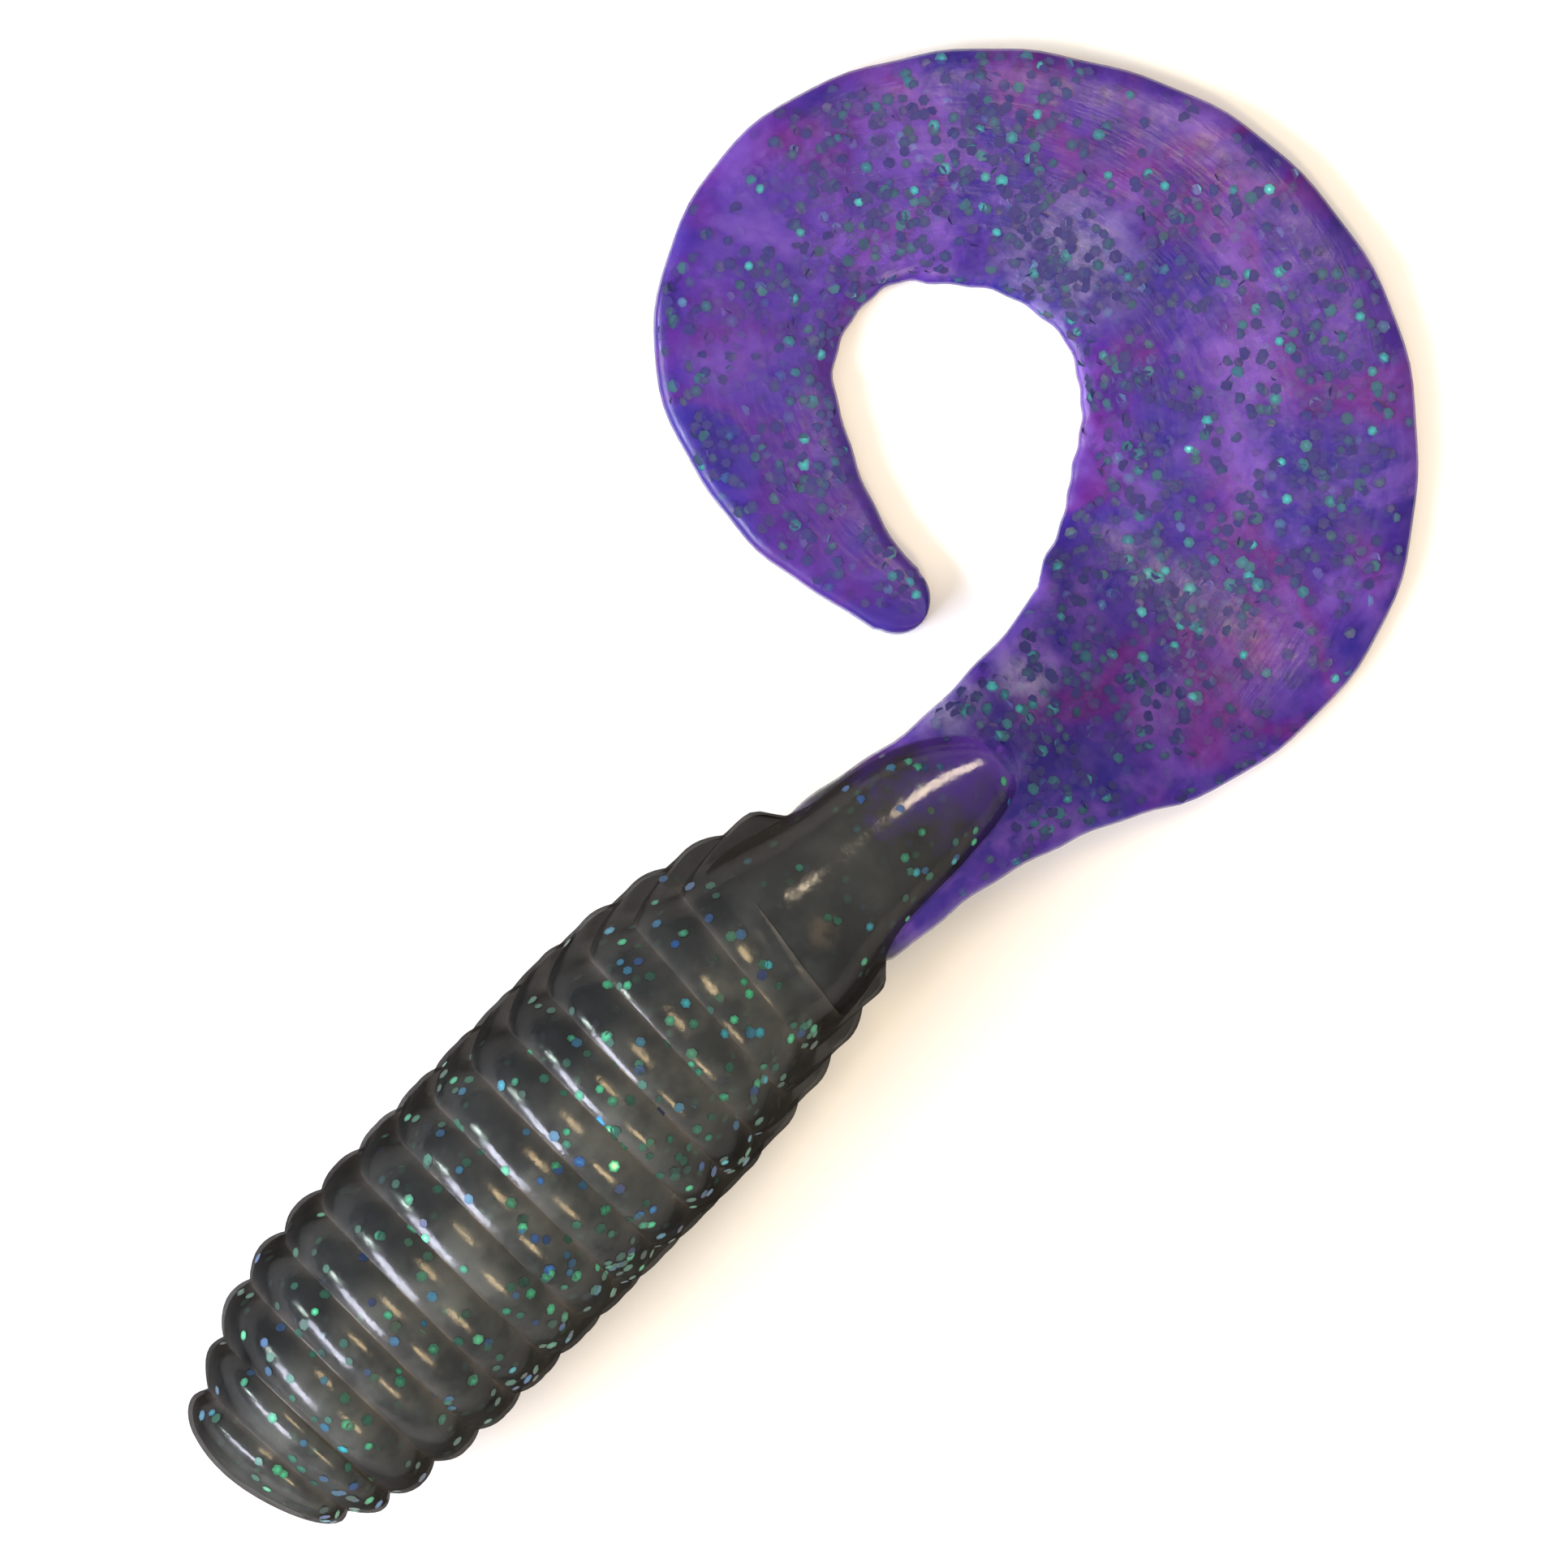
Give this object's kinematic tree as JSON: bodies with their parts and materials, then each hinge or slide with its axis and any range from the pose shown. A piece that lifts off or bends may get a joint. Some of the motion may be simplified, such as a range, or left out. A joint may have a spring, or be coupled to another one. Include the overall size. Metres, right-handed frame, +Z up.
{
  "type": "soft plastic worm",
  "caption": "Ribbed soft plastic grub with a smooth peg and a flat curled sickle tail, smoke and violet with glitter, lying on its side.",
  "frame": {"origin": "middle of the part's plan box, on the surface that it lies on", "axes": "+X from the nose to the tail along the straight body, +Z up, out of the surface; the tail curls towards +Y"},
  "size_m": [0.0666, 0.0325, 0.0117],
  "materials": {
    "smoke_plastic": "gloss, dark smoke translucent plastisol",
    "violet_plastic": "satin, translucent violet plastisol",
    "green_flake": "metallised film",
    "teal_flake": "metallised film",
    "blue_flake": "metallised film",
    "dark_flake": "metallised film"
  },
  "bodies": {
    "front": {"body_front": "smoke_plastic", "green_flakes_front": "green_flake", "teal_flakes_front": "teal_flake", "blue_flakes_front": "blue_flake"},
    "fore": {"body_fore": "smoke_plastic", "green_flakes_fore": "green_flake", "teal_flakes_fore": "teal_flake"},
    "mid": {"body_mid": "smoke_plastic", "green_flakes_mid": "green_flake", "teal_flakes_mid": "teal_flake", "blue_flakes_mid": "blue_flake"},
    "rear": {"body_rear": "smoke_plastic", "green_flakes_rear": "green_flake", "teal_flakes_rear": "teal_flake"},
    "stock": {"tail_peg": "smoke_plastic", "tail_root": "violet_plastic", "green_flakes_peg": "green_flake", "dark_flakes_root": "dark_flake", "teal_flakes_root": "teal_flake"},
    "tail_1": {"blade_1": "violet_plastic", "dark_flakes_1": "dark_flake", "teal_flakes_1": "teal_flake"},
    "tail_2": {"blade_2": "violet_plastic", "dark_flakes_2": "dark_flake", "teal_flakes_2": "teal_flake"},
    "tail_3": {"blade_3": "violet_plastic", "dark_flakes_3": "dark_flake", "teal_flakes_3": "teal_flake"},
    "tail_4": {"blade_4": "violet_plastic", "dark_flakes_4": "dark_flake", "teal_flakes_4": "teal_flake"},
    "tail_5": {"blade_5": "violet_plastic", "dark_flakes_5": "dark_flake", "teal_flakes_5": "teal_flake"},
    "tail_6": {"blade_6": "violet_plastic", "dark_flakes_6": "dark_flake", "teal_flakes_6": "teal_flake"},
    "tail_tip": {"blade_tip": "violet_plastic", "dark_flakes_tip": "dark_flake", "teal_flakes_tip": "teal_flake"}
  },
  "joints": [
    {"name": "front_bend", "type": "hinge", "parent": "front", "child": "fore", "pos_m": [-0.02406, -0.00701, 0.00585], "axis": [0, 0, 1], "range_deg": [-10, 10], "stiffness_Nm_per_rad": 0.013},
    {"name": "body_lift", "type": "hinge", "parent": "fore", "child": "mid", "pos_m": [-0.0149, -0.00701, 0.00585], "axis": [0, -1, 0], "range_deg": [0, 10], "stiffness_Nm_per_rad": 0.013},
    {"name": "rear_bend", "type": "hinge", "parent": "mid", "child": "rear", "pos_m": [-0.00574, -0.00701, 0.00585], "axis": [0, 0, 1], "range_deg": [-10, 10], "stiffness_Nm_per_rad": 0.01},
    {"name": "stock_lift", "type": "hinge", "parent": "rear", "child": "stock", "pos_m": [0.00113, -0.00733, 0.00585], "axis": [-0.1564, -0.9877, 0], "range_deg": [0, 14], "stiffness_Nm_per_rad": 0.0016},
    {"name": "curl_1", "type": "hinge", "parent": "stock", "child": "tail_1", "pos_m": [0.01097, -0.00943, 0.00312], "axis": [0, 0, -1], "range_deg": [-2, 12], "stiffness_Nm_per_rad": 0.0016},
    {"name": "curl_2", "type": "hinge", "parent": "tail_1", "child": "tail_2", "pos_m": [0.01887, -0.00971, 0.00071], "axis": [0, 0, -1], "range_deg": [-2, 12], "stiffness_Nm_per_rad": 0.0048},
    {"name": "curl_3", "type": "hinge", "parent": "tail_2", "child": "tail_3", "pos_m": [0.02594, -0.00448, 0.00063], "axis": [0, 0, -1], "range_deg": [-2, 12], "stiffness_Nm_per_rad": 0.0043},
    {"name": "flutter_1", "type": "hinge", "parent": "tail_3", "child": "tail_4", "pos_m": [0.02708, 0.00419, 0.00063], "axis": [0.9632, 0.2689, 0], "range_deg": [0, 20], "stiffness_Nm_per_rad": 0.000032},
    {"name": "curl_4", "type": "hinge", "parent": "tail_4", "child": "tail_5", "pos_m": [0.0226, 0.01063, 0.00063], "axis": [0, 0, -1], "range_deg": [-2, 12], "stiffness_Nm_per_rad": 0.0014},
    {"name": "flutter_2", "type": "hinge", "parent": "tail_5", "child": "tail_6", "pos_m": [0.01501, 0.01147, 0.00063], "axis": [-0.4089, 0.9126, 0], "range_deg": [0, 25], "stiffness_Nm_per_rad": 0.000024},
    {"name": "tip_flick", "type": "hinge", "parent": "tail_6", "child": "tail_tip", "pos_m": [0.01035, 0.00532, 0.00063], "axis": [-0.9636, 0.2674, 0], "range_deg": [0, 30], "stiffness_Nm_per_rad": 0.000018}
  ]
}
